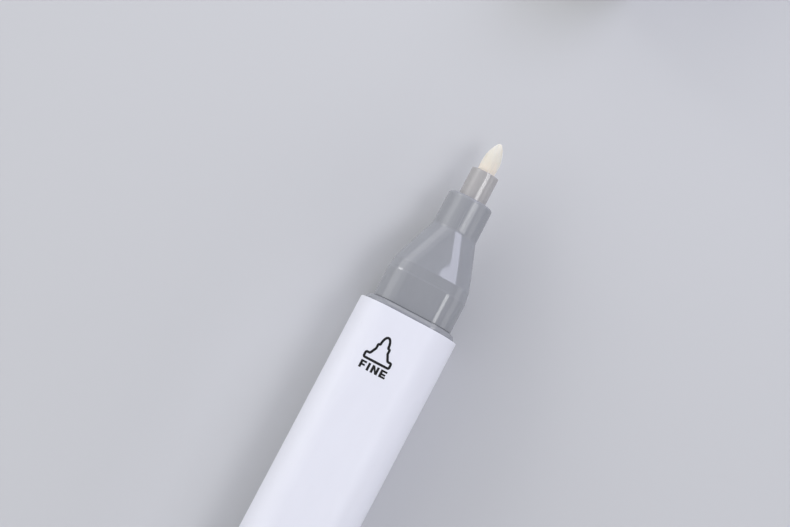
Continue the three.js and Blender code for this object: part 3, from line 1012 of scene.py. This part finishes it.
@dataclass
class Print:
    """The mark near the fine rim: a plain drawing of a bullet tip over the word FINE.

    Places on the print are across, to the left when the tip points up, and along, towards the
    tip, both from the middle of the word's foot. Each letter has a start and a width, and its
    arms are shares of that width and of its height.
    """

    axis: Axis
    outline: Outline
    aside: float = 1.3 * MM
    foot: float = 9.62 * MM
    proud: float = 0.015 * MM
    sunk: float = 0.01 * MM
    line: float = 0.36 * MM
    icon_foot: float = 1.46 * MM
    icon_height: float = 4.3 * MM
    icon_half: float = 2.2 * MM
    icon_round: float = 0.2 * MM
    base_height: float = 1.02 * MM
    cone_half: float = 1.42 * MM
    cone_height: float = 2 * MM
    collar_half: float = 0.92 * MM
    collar_height: float = 2.72 * MM
    bullet_half: float = 0.62 * MM
    bold: float = 0.36 * MM
    arm: float = 0.288 * MM
    slant: float = 0.522 * MM
    letter_height: float = 1.18 * MM
    middle_arm: tuple[float, float] = (0.9, 0.58)
    bar_points: int = 9
    bullet_points: int = 9
    near: float = 0.02 * MM
    pitch: float = 0.25 * MM
    letters: dict[str, tuple[float, float]] = field(
        default_factory=lambda: {
            "F": (2.06 * MM, 0.92 * MM),
            "I": (0.87 * MM, 0.36 * MM),
            "N": (0.21 * MM, 1.1 * MM),
            "E": (-1.15 * MM, 1.0 * MM),
        }
    )

    def build(self) -> None:
        """Makes the drawing and the word as one piece of raised ink."""
        points = []
        faces = []
        count = 0
        for strip in (self.drawing(), *self.word()):
            grid, quads = self.raised(strip)
            points.append(grid)
            faces.append(quads + count)
            count += len(grid)
        piece = new_piece("fine_mark", self.on_barrel(np.vstack(points)), np.vstack(faces))
        hand_over(piece, Body.BARREL, PRINT_BLACK)

    def drawing(self) -> Strip:
        """Draws the bullet tip as a closed line of even width.

        Half of it is a foot, a cone, a collar and a bullet whose side is a quarter of an
        ellipse, and the other half is its mirror image. The corners are rounded.

        Returns:
            The closed strip.
        """
        edge = self.line / 2
        half = self.icon_half - edge
        rise = self.icon_height - edge - self.collar_height
        angle = np.linspace(0, math.pi / 2, self.bullet_points)
        bullet = [self.bullet_half * np.cos(angle), self.collar_height + rise * np.sin(angle)]
        corners = [
            (half, edge),
            (half, self.base_height),
            (self.cone_half, self.base_height),
            (self.collar_half, self.cone_height),
            (self.collar_half, self.collar_height),
        ]
        right = np.vstack([np.array(corners), np.column_stack(bullet)])
        smooth = self.softened(np.vstack([right, (right * [-1, 1])[-2::-1]]))
        ahead = np.roll(smooth, -1, 0) - np.roll(smooth, 1, 0)
        ahead /= np.linalg.norm(ahead, axis=1, keepdims=True)
        out = np.column_stack([ahead[:, 1], -ahead[:, 0]]) * edge
        lift = np.array([0.0, self.icon_foot])
        return Strip(smooth + out + lift, smooth - out + lift, closed=True)

    def softened(self, loop: np.ndarray) -> np.ndarray:
        """Rounds the corners of a closed line by arcs of one radius, and evens its points.

        Args:
            loop: The line's corners, as rows of across and along.

        Returns:
            The line's points in the same way.
        """
        stops = [Stop(x, 0.0, y, self.icon_round) for x, y in loop]
        path = supported(rounded(stops, closed=True, steps=5), self.near, self.pitch)
        return path[:-1][:, [0, 3]]

    def word(self) -> list[Strip]:
        """Draws the four letters from straight bars.

        Returns:
            The bars.
        """
        high = self.letter_height
        middle = (self.middle_arm[0], self.middle_arm[1] * high)
        arms = {"F": [(1.0, high), middle], "E": [(1.0, high), middle, (1.0, self.arm)]}
        bars = []
        for letter, (start, width) in self.letters.items():
            inner = start - self.bold
            far = start - width
            last = far + self.bold
            bars.append(self.bar((start, 0), (start, high), (inner, 0), (inner, high)))
            if letter == "N":
                bars.append(self.bar((last, 0), (last, high), (far, 0), (far, high)))
                upper = (inner, high), (last, self.slant)
                lower = (inner, high - self.slant), (last, 0.0)
                bars.append(self.bar(*upper, *lower))
            for share, level in arms.get(letter, ()):
                stop = start - width * share
                under = level - self.arm
                bars.append(self.bar((inner, level), (stop, level), (inner, under), (stop, under)))
        return bars

    def bar(self, *corners: tuple[float, float]) -> Strip:
        """Divides a straight bar along its length, so that it can follow the barrel.

        Args:
            corners: The start and end of its left edge, then of its right edge.

        Returns:
            The strip.
        """
        share = np.linspace(0, 1, self.bar_points)[:, None]
        places = np.array(corners)
        edges = (places[k] * (1 - share) + places[k + 1] * share for k in (0, 2))
        return Strip(*edges)

    def raised(self, strip: Strip) -> tuple[np.ndarray, np.ndarray]:
        """Gives a strip of ink its thickness.

        The strip's section is a rectangle between its two edges, from just under the surface
        to just above it, carried along the strip.

        Args:
            strip: The strip.

        Returns:
            Rows of across, along and height over the surface, and the quads.
        """
        corners = (
            (strip.left, self.proud),
            (strip.left, -self.sunk),
            (strip.right, -self.sunk),
            (strip.right, self.proud),
        )
        sides = [np.column_stack([edge, np.full(len(edge), level)]) for edge, level in corners]
        grid = np.stack(sides, 1)
        if strip.closed:
            grid = np.concatenate([grid, grid[:1]])
        quads = grid_faces(len(grid), 4)
        if not strip.closed:
            last = 4 * (len(grid) - 1)
            quads = np.vstack([quads, [3, 2, 1, 0], last + np.arange(4)])
        return grid.reshape(-1, 3), quads

    def on_barrel(self, points: np.ndarray) -> np.ndarray:
        """Wraps the print round the top of the barrel.

        On the flat, across is sideways. Past its end, the rest of across is an angle of the
        long corner, which is that length over the corner's radius. Height is measured along
        the surface's own normal.

        Args:
            points: Rows of across, along and height over the surface.

        Returns:
            Rows of X, Y and Z.
        """
        across = points[:, 0] + self.aside
        flat = self.outline.half - self.outline.corner
        past = np.maximum(np.abs(across) - flat, 0.0) / self.outline.corner
        radius = self.outline.corner + points[:, 2]
        sideways = np.clip(across, -flat, flat) + np.sign(across) * radius * np.sin(past)
        upwards = flat + radius * np.cos(past)
        placed = np.column_stack([points[:, 1] - self.foot, sideways, upwards])
        return self.axis.place(placed, End.FINE)


# Necks


@dataclass
class Neck:
    """A moulded neck: spigot, flange, prism, click step, square-to-round cone and collar.

    A pair of values is how far a form goes in or out, and how long it is along the axis. The
    crown and the swell are angles in degrees, and the bore is a half-width, a half-height and
    a corner radius.
    """

    axis: Axis
    end: End
    node: str
    outline: Outline
    collar: float
    collar_length: float
    shoulder_drop: float
    shoulder_radius: float
    bore: tuple[float, float, float]
    seat: float = 0.05 * MM
    spigot_inset: float = 1.15 * MM
    spigot_chamfer: float = 0.5 * MM
    flange_inset: float = 0.585 * MM
    flange_height: float = 0.75 * MM
    flange_chamfer: tuple[float, float] = (0.3 * MM, 0.45 * MM)
    flange_round: float = 0.15 * MM
    groove: tuple[float, float] = (0.1 * MM, 0.22 * MM)
    fillet: float = 0.06 * MM
    prism_length: float = 4.85 * MM
    prism_inset: float = 1.45 * MM
    corner_less: float = 1.4 * MM
    step: tuple[float, float] = (0.07 * MM, 0.32 * MM)
    step_round: float = 0.12 * MM
    band_length: float = 1.75 * MM
    band_draft: float = 0.09 * MM
    crease: float = 0.9 * MM
    ledge: tuple[float, float] = (0.045 * MM, 0.25 * MM)
    draft: float = 0.05 * MM
    collar_round: float = 0.45 * MM
    bore_round: float = 0.12 * MM
    crown: float = 0.9
    swell: float = 4.2
    swell_widths: tuple[float, float] = (0.8 * MM, 1.6 * MM)
    hollow: float = 5.15 * MM
    hollow_round: float = 0.5 * MM

    @property
    def prism(self) -> Outline:
        """The section that a cap slides over."""
        corner = self.outline.corner - self.corner_less
        return Outline(self.outline.half - self.prism_inset, corner)

    @property
    def start(self) -> float:
        """The station of the spigot's inner end, as the frame has it."""
        return self.axis.reach(self.node, self.end)[0]

    @property
    def collar_rim(self) -> float:
        """The station of the collar's rim, as the frame has it."""
        return self.axis.reach(self.node, self.end)[1]

    @property
    def collar_foot(self) -> float:
        """The station where the cone ends and the collar starts."""
        return self.collar_rim - self.collar_length

    @property
    def cone_foot(self) -> float:
        """The station where the band ends and the cone starts."""
        return self.seat + self.flange_height + self.prism_length + self.band_length

    def bulge(self, stations: np.ndarray) -> np.ndarray:
        """Gives the crown of the sides, which swells round the cone's foot.

        The swell is a bell curve of the distance from the foot, with one width on the prism's
        side of it and another on the cone's.

        Args:
            stations: The stations of the profile's rows.

        Returns:
            The swing of a side's direction from square, in degrees.
        """
        away = stations - self.cone_foot
        away = away / np.where(away < 0, *self.swell_widths)
        return self.crown + self.swell * np.exp(-(away**2))

    def outside(self) -> list[Stop]:
        """Draws the outside of the neck.

        Returns:
            The stops from the spigot's inner end to the collar's rim.
        """
        barrel = self.outline
        prism = self.prism
        top = self.seat + self.flange_height
        click = top + self.prism_length
        drop, back = self.flange_chamfer
        deep, wide = self.groove
        step_in, step_long = self.step
        ledge_out, ledge_long = self.ledge
        return [
            barrel.stop(-self.spigot_inset - self.spigot_chamfer, self.start, EDGE),
            barrel.stop(-self.spigot_inset, self.start + self.spigot_chamfer, EDGE),
            barrel.stop(-self.spigot_inset, self.seat),
            barrel.stop(-self.flange_inset, self.seat, BREAK),
            barrel.stop(-self.flange_inset, top - back, self.flange_round),
            barrel.stop(-self.flange_inset - drop, top, self.flange_round),
            prism.stop(-deep, top, self.fillet),
            prism.stop(-deep, top + wide - deep, self.fillet),
            prism.stop(0, top + wide, self.fillet),
            prism.stop(0, click, self.step_round),
            prism.stop(-step_in, click + step_long, self.step_round),
            prism.stop(-step_in - self.band_draft, self.cone_foot, self.crease),
            disc(self.collar + ledge_out, self.collar_foot, self.fillet),
            disc(self.collar, self.collar_foot + ledge_long, self.fillet),
            disc(self.collar - self.draft, self.collar_rim, self.collar_round),
        ]

    def inside(self) -> list[Stop]:
        """Draws the nib's bore and the round hollow behind it.

        Returns:
            The stops from the collar's rim back to the spigot's inner end.
        """
        half, height, corner = self.bore
        shoulder = self.collar_foot - self.shoulder_drop
        return [
            Stop(half, corner, self.collar_rim, self.bore_round, height),
            Stop(half, corner, shoulder, 0.0, height),
            disc(self.shoulder_radius, shoulder, EDGE),
            disc(self.hollow, self.cone_foot, self.hollow_round),
            disc(self.hollow, self.start, EDGE),
        ]

    def build(self) -> None:
        """Makes the neck as one closed loft over its outer and inner stops."""
        stops = [*self.outside(), *self.inside()]
        piece = lofted(self.node + "_moulding", self.axis, self.end, stops, True, self.bulge)
        satin_from = self.axis.rim + self.collar_foot
        name = self.node.replace("_", " ") + " grey"
        finish = replace(NECK_GREY, name=name, satin_from=satin_from)
        hand_over(piece, Body.BARREL, finish, self.node)


# Nibs


@dataclass
class FineTip:
    """The fine nib and the sleeve that carries it."""

    axis: Axis
    node: str = "fine_nib"
    sleeve_node: str = "fine_nib_sleeve"
    nib: float = 1.375 * MM
    ogive: float = 5.25 * MM
    tip: float = 0.46 * MM
    point: float = 1.6 * MM
    fit: float = 0.05 * MM
    sleeve_wall: float = 0.725 * MM
    sleeve_stop: float = 0.7 * MM
    stop_length: float = 1 * MM
    tail_length: float = 6 * MM
    warmth_length: float = 3 * MM
    unevenness: float = 0.012 * MM
    bow_points: int = 40
    ball_points: int = 14

    def build(self) -> None:
        """Makes the sleeve and the nib."""
        self.sleeve()
        self.bullet()

    def sleeve(self) -> None:
        """Makes the sleeve, a tube with a stop round it."""
        near, rim = self.axis.reach(self.sleeve_node, End.FINE)
        bore = self.nib + self.fit
        wall = bore + self.sleeve_wall
        collar = wall + self.sleeve_stop
        stop = near + self.tail_length
        past = stop + self.stop_length
        stops = [
            disc(bore, near, BREAK),
            disc(wall, near, EDGE),
            disc(wall, stop, TIGHT),
            disc(collar, stop, BREAK),
            disc(collar, past, BREAK),
            disc(wall, past, TIGHT),
            disc(wall, rim, EDGE),
            disc(bore, rim, EDGE),
        ]
        piece = lofted("fine_sleeve_tube", self.axis, End.FINE, stops, closed=True)
        hand_over(piece, Body.BARREL, SLEEVE_GREY, self.sleeve_node)

    def bullet(self) -> None:
        """Makes the bullet nib.

        Its outline is a straight shank, then an arc of the ogive radius that is tangent to it,
        then the ball of the tip. The arcs touch where the line between their centres meets
        them. The radius swells and shrinks by a few sine waves, as pressed fibre does.
        """
        near, tip = self.axis.reach(self.node, End.FINE)
        centre, between = self.nib - self.ogive, self.ogive - self.tip
        nose = math.sqrt(between**2 - centre**2)
        shank = tip - self.tip - nose
        meets = math.asin(nose / between)
        bow = np.linspace(0, meets, self.bow_points)
        ball = np.linspace(meets, math.pi / 2, self.ball_points)[1:]
        side = [centre + self.ogive * np.cos(bow), shank + self.ogive * np.sin(bow)]
        end = [self.tip * np.cos(ball), shank + nose + self.tip * np.sin(ball)]
        end[0][-1] = 0.0
        tail = np.array([[0.0, near], [self.tip, near], [self.nib, near + self.point]])
        line = np.vstack([tail, np.column_stack(side), np.column_stack(end)])
        grid = swept(supported(line[:, [0, 0, 0, 1]], pitch=FINE_PITCH))
        radius = np.maximum(np.hypot(grid[..., 1], grid[..., 2]), NOTHING)
        swell = uneven(grid) * self.unevenness * np.minimum(radius / self.nib, 1)
        grid[..., 1:] *= (1 + swell / radius)[..., None]
        piece = on_grid("fine_nib_bullet", self.axis, End.FINE, grid)
        rim = self.axis.reach(self.sleeve_node, End.FINE)[1] + self.axis.rim
        ends = {"root_at": rim, "tip_at": rim + self.warmth_length}
        finish = replace(NIB_FELT, name="fine nib felt", **ends)
        hand_over(piece, Body.BARREL, finish, self.node)


@dataclass
class BroadNib:
    """The chisel nib: a bar with long rounded edges, a slanted end and a wedge to its edge."""

    axis: Axis
    node: str = "broad_nib"
    half_width: float = 3.05 * MM
    half_thickness: float = 1.85 * MM
    round: float = 0.6 * MM
    end_round: float = 0.25 * MM
    reach: float = 8 * MM
    slant: float = 4.2 * MM
    edge: float = 0.65 * MM
    wedge: float = 5.2 * MM
    tail_half: float = 2 * MM
    tail_length: float = 6 * MM
    tail_shoulder: float = 0.15 * MM
    warmth_length: float = 5 * MM
    strand: float = 0.09 * MM
    unevenness: float = 0.012 * MM
    pitch: float = 0.6 * MM
    corner_facets: int = 12
    side_points: int = 9

    def section(self, half: float, station: float, rounding: float = EDGE) -> Stop:
        """Makes a section of the bar, which has one thickness and one radius of its edges."""
        return Stop(half, self.round, station, rounding, self.half_thickness)

    def build(self) -> None:
        """Makes the nib.

        The bar's stations in front of its collar are sheared, so that the short corner ends
        before the long one by the slant. Its thickness then falls evenly with the station
        from the wedge's start to the edge.
        """
        near, tip = self.axis.reach(self.node, End.BROAD)
        collar = tip - self.reach
        shoulder = near + self.tail_length
        stops = [
            disc(0, near),
            self.section(self.tail_half, near),
            self.section(self.tail_half, shoulder),
            self.section(self.half_width, shoulder + self.tail_shoulder),
            self.section(self.half_width, tip, self.end_round),
            disc(0, tip),
        ]
        path = supported(rounded(stops, closed=False), pitch=self.pitch)
        flat = (0.02, *np.linspace(0.1, 0.9, self.side_points), 0.98)
        grid = swept(path, perimeter(self.corner_facets, flat))
        share = np.clip((grid[..., 0] - collar) / self.reach, 0, 1)
        across = (grid[..., 1] + self.half_width) / (2 * self.half_width)
        grid[..., 0] -= self.slant * across * share
        into = np.clip((grid[..., 0] - (tip - self.wedge)) / self.wedge, 0, 1)
        grid[..., 2] *= 1 - into * (1 - self.edge / self.half_thickness)
        size = np.maximum(np.hypot(grid[..., 1], grid[..., 2]), self.edge)
        grid[..., 1:] *= (1 + uneven(grid) * self.unevenness / size)[..., None]
        piece = on_grid("broad_nib_chisel", self.axis, End.BROAD, grid)
        rim = -(self.axis.rim + collar)
        ends = {"root_at": rim, "tip_at": rim - self.warmth_length}
        finish = replace(NIB_FELT, name="broad nib felt", strand=self.strand, **ends)
        hand_over(piece, Body.BARREL, finish, self.node)


# Caps


@dataclass
class Cap:
    """A pull-off cap: a shell of the barrel's section, a sealing cup and an end plug."""

    axis: Axis
    outline: Outline
    end: End
    body: Body
    collar: float
    wall: float = 1.2 * MM
    fit: float = 0.05 * MM
    lead_in: float = 0.4 * MM
    inner_round: float = 0.06 * MM
    bead: float = 0.8 * MM
    bead_height: float = 0.18 * MM
    bead_at: float = 5.45 * MM
    bead_round: float = 0.3 * MM
    ledge: float = 1 * MM
    seal: float = 0.06 * MM
    cup_wall: float = 0.8 * MM
    cup_floor: float = 1 * MM
    cup_round: float = 0.4 * MM
    cup_lead: float = 0.3 * MM
    lead_rounds: tuple[float, float] = (0.15 * MM, 0.12 * MM)
    flange_gap: float = 0.25 * MM
    spigot: float = 1.4 * MM
    seam_round: float = 0.03 * MM
    plug_round: float = 0.7 * MM

    def reach(self, part: str) -> tuple[float, float]:
        """Measures a part of the cap in stations."""
        return self.axis.reach(f"{self.body.value}_{part}", self.end)

    def build(self) -> None:
        """Makes the three pieces."""
        self.finish("shell", self.shell(), True, CAP_WHITE, "cap_white")
        self.finish("liner", self.liner(), False, LINER_MILKY, "liner_milky")
        self.finish("plug", self.plug(), False, PLUG_GREY, "plug_grey")

    def finish(self, part: str, stops: list[Stop], closed: bool, look: Finish, slot: str) -> None:
        """Lofts one part and hands it over in place of its node.

        Args:
            part: The part's own word in the node's name.
            stops: Its profile.
            closed: Whether the profile is a loop.
            look: Its finish.
            slot: Not used.
        """
        node = f"{self.body.value}_{part}"
        piece = lofted(node + "_moulding", self.axis, self.end, stops, closed)
        hand_over(piece, self.body, look, node)

    def shell(self) -> list[Stop]:
        """Draws an open tube with a click bead and a ledge with a round hole.

        Returns:
            The stops, from the mouth along the outside and back along the inside.
        """
        mouth, far = self.reach("shell")
        over = self.reach("liner")[1] - self.cup_floor - self.fit
        under = over - self.ledge
        hole = self.collar + self.seal + self.cup_wall + self.fit
        bead = mouth + self.bead_at
        outline = self.outline
        return [
            outline.stop(0, mouth, SOFT),
            outline.stop(0, far, SOFT),
            outline.stop(-self.wall, far, self.inner_round),
            outline.stop(-self.wall, over, TIGHT),
            disc(hole, over, BREAK),
            disc(hole, under, BREAK),
            outline.stop(-self.wall, under, TIGHT),
            outline.stop(-self.wall, bead + self.bead / 2, SOFT),
            outline.stop(-self.wall - self.bead_height, bead, self.bead_round),
            outline.stop(-self.wall, bead - self.bead / 2, SOFT),
            outline.stop(-self.wall, mouth + self.lead_in, EDGE),
            outline.stop(self.lead_in - self.wall, mouth, BREAK),
        ]

    def liner(self) -> list[Stop]:
        """Draws the sealing cup, with a flange round its floor.

        Returns:
            The stops, from the middle of its floor out of the cup and back to the middle.
        """
        mouth, far = self.reach("liner")
        floor = far - self.cup_floor
        bore = self.collar + self.seal
        flange = self.outline.half - self.wall - self.flange_gap
        inner, outer = self.lead_rounds
        return [
            disc(0, floor),
            disc(bore, floor, self.cup_round),
            disc(bore, mouth + self.cup_lead, inner),
            disc(bore + self.cup_lead, mouth, outer),
            disc(bore + self.cup_wall, mouth, SOFT),
            disc(bore + self.cup_wall, floor, TIGHT),
            disc(flange, floor, EDGE),
            disc(flange, far, EDGE),
            disc(0, far),
        ]

    def plug(self) -> list[Stop]:
        """Draws a spigot that fits the shell, under a head with a rounded edge.

        Returns:
            The stops, from the middle of the spigot's end to the middle of the head.
        """
        near, far = self.reach("plug")
        foot = near + self.spigot + self.fit
        inner = -self.wall - self.fit
        return [
            disc(0, near),
            self.outline.stop(inner, near, SOFT),
            self.outline.stop(inner, foot, self.seam_round),
            self.outline.stop(0, foot, SOFT),
            self.outline.stop(0, far, self.plug_round),
            disc(0, far),
        ]


# Studio


@dataclass(frozen=True)
class Lamp:
    """A soft box that faces the neck.

    Its direction from there is an angle to the right of straight up, as the camera sees it,
    and an angle towards the tip. Its width lies across the marker and its length along it.
    Both are angles too, as seen from the neck.
    """

    name: str
    right: float
    ahead: float
    width: float
    length: float
    radiance: float
    tint: str = "#ffffff"
    distance: float = 0.5

    def span(self, angle: float) -> float:
        """Gives the size that fills an angle at the lamp's distance."""
        return 2 * self.distance * math.tan(math.radians(angle) / 2)

    def build(self, target: Vector) -> None:
        """Makes the lamp, with a power of pi times its area times its radiance.

        Args:
            target: The place that it faces.
        """
        light = bpy.data.lights.new(self.name, "AREA")
        light.shape = "RECTANGLE"
        light.size = self.span(self.width)
        light.size_y = self.span(self.length)
        light.energy = math.pi * light.size * light.size_y * self.radiance
        light.color = colour(self.tint)[:3]
        lamp = bpy.data.objects.new(self.name, light)
        slopes = (math.tan(math.radians(angle)) for angle in (self.ahead, -self.right))
        back = Vector((*slopes, 1.0)).normalized()
        side = Vector((1, 0, 0)).cross(back).normalized()
        turn = Matrix((side, back.cross(side), back)).transposed()
        lamp.matrix_world = Matrix.Translation(target + back * self.distance) @ turn.to_4x4()
        bpy.context.scene.collection.objects.link(lamp)


LAMPS = (
    Lamp("ridge strip", right=22.3, ahead=-1.6, width=14, length=17, radiance=5.2),
    Lamp("collar strip", right=30, ahead=9.3, width=28, length=4.8, radiance=8.5),
    Lamp("band strip", right=23, ahead=14.3, width=9, length=5.2, radiance=2.6),
    Lamp("right panel", right=72, ahead=5, width=28, length=70, radiance=0.95),
    Lamp("tip panel", right=23.9, ahead=49.5, width=28.8, length=26, radiance=5, tint="#e8e9ff"),
    Lamp("front panel", right=0, ahead=76, width=44, length=15, radiance=1.3),
    Lamp("step glint", right=-65, ahead=50, width=20, length=8, radiance=5.5),
    Lamp("band glint", right=-57.5, ahead=21.5, width=7, length=6, radiance=3.2),
    Lamp("left panel", right=-64, ahead=20, width=36, length=90, radiance=0.95),
    Lamp("left wash", right=-52, ahead=20, width=62, length=90, radiance=0.6),
    Lamp("rear wash", right=0, ahead=-64, width=90, length=40, radiance=0.55),
)


@dataclass
class Studio:
    """The floor, the soft light and the camera."""

    axis: Axis
    camera_at: tuple[float, float, float] = (11.6 * MM, 1.3 * MM, 387.3 * MM)
    camera_aim: tuple[float, float, float] = (46.6 * MM, 5.6 * MM, 7.75 * MM)
    lean: float = 27.83
    focal: float = 2600.0
    sensor: float = 36.0
    clip: tuple[float, float] = (0.01, 20.0)
    sky: str = "#fbfcff"
    ambient: float = 0.27
    surroundings: float = 0.6
    neck_ahead: float = 11 * MM
    floor_half: float = 3.0

    def build(self) -> None:
        """Makes the floor, the lamps, the world and the camera."""
        self.floor()
        neck = Vector((self.axis.rim + self.neck_ahead, 0, self.axis.height))
        for lamp in LAMPS:
            lamp.build(neck)
        self.world()
        self.camera()

    def floor(self) -> None:
        """Lays the floor under the marker."""
        signs = ((-1, -1, 0), (1, -1, 0), (1, 1, 0), (-1, 1, 0))
        mesh = bpy.data.meshes.new("floor")
        mesh.from_pydata((np.array(signs) * self.floor_half).tolist(), [], [(0, 1, 2, 3)])
        floor = bpy.data.objects.new("floor", mesh)
        FLOOR_PAPER.dress(floor)
        bpy.context.scene.collection.objects.link(floor)

    def world(self) -> None:
        """Lights the room evenly, and shows it paler to the camera and in reflections."""
        world = bpy.data.worlds.new("room")
        bpy.context.scene.world = world
        world.use_nodes = True
        bench = Bench(world.node_tree)
        path = bench.put("LightPath").outputs
        seen = bench.math("MAXIMUM", path["Is Camera Ray"], path["Is Glossy Ray"])
        seen = bench.math("MAXIMUM", seen, path["Is Transmission Ray"])
        strength = bench.ramp(seen, 0, 1, self.ambient, self.surroundings)
        sky = bench.put("Background", {"Color": colour(self.sky), "Strength": strength})
        bench.put("OutputWorld", {"Surface": sky.outputs[0]})

    def camera(self) -> None:
        """Sets the camera where the photograph was taken from.

        It looks from its place to its aim. The marker's axis, seen upright, is then leaned to
        the right by turning the camera to the left about its line of sight. The lens is the
        focal length in pixels times the sensor's width over the photograph's.
        """
        data = bpy.data.cameras.new("camera")
        data.sensor_width = self.sensor
        data.lens = self.focal * self.sensor / PHOTO_WIDTH
        data.clip_start, data.clip_end = self.clip
        camera = bpy.data.objects.new("camera", data)
        place = Vector(self.camera_at)
        back = (place - Vector(self.camera_aim)).normalized()
        along = Vector((1, 0, 0))
        up = (along - back * along.dot(back)).normalized()
        upright = Matrix((up.cross(back), up, back)).transposed()
        turned = Matrix.Rotation(math.radians(self.lean), 3, back) @ upright
        camera.matrix_world = Matrix.Translation(place) @ turned.to_4x4()
        bpy.context.scene.collection.objects.link(camera)
        bpy.context.scene.camera = camera


def main() -> None:
    """Builds the marker from the barrel outwards, then the studio."""
    logging.basicConfig(level=logging.INFO, format="%(name)s: %(message)s", force=True)
    axis = Axis.from_frame()
    barrel = Barrel(axis)
    barrel.build()
    fine = Neck(
        axis,
        End.FINE,
        "fine_neck",
        barrel.outline,
        collar=3.55 * MM,
        collar_length=5.55 * MM,
        shoulder_drop=0.8 * MM,
        shoulder_radius=2.9 * MM,
        bore=(2.2 * MM, 2.2 * MM, 2.2 * MM),
    )
    broad = Neck(
        axis,
        End.BROAD,
        "broad_neck",
        barrel.outline,
        collar=4.6 * MM,
        collar_length=6.5 * MM,
        shoulder_drop=1 * MM,
        shoulder_radius=3.45 * MM,
        bore=(3.1 * MM, 1.9 * MM, 0.65 * MM),
    )
    fine.build()
    broad.build()
    FineTip(axis).build()
    BroadNib(axis).build()
    Cap(axis, barrel.outline, End.FINE, Body.FINE_CAP, fine.collar).build()
    Cap(axis, barrel.outline, End.BROAD, Body.BROAD_CAP, broad.collar).build()
    Studio(axis).build()
    bpy.context.scene.view_settings.view_transform = "Standard"


if __name__ == "__main__":
    main()
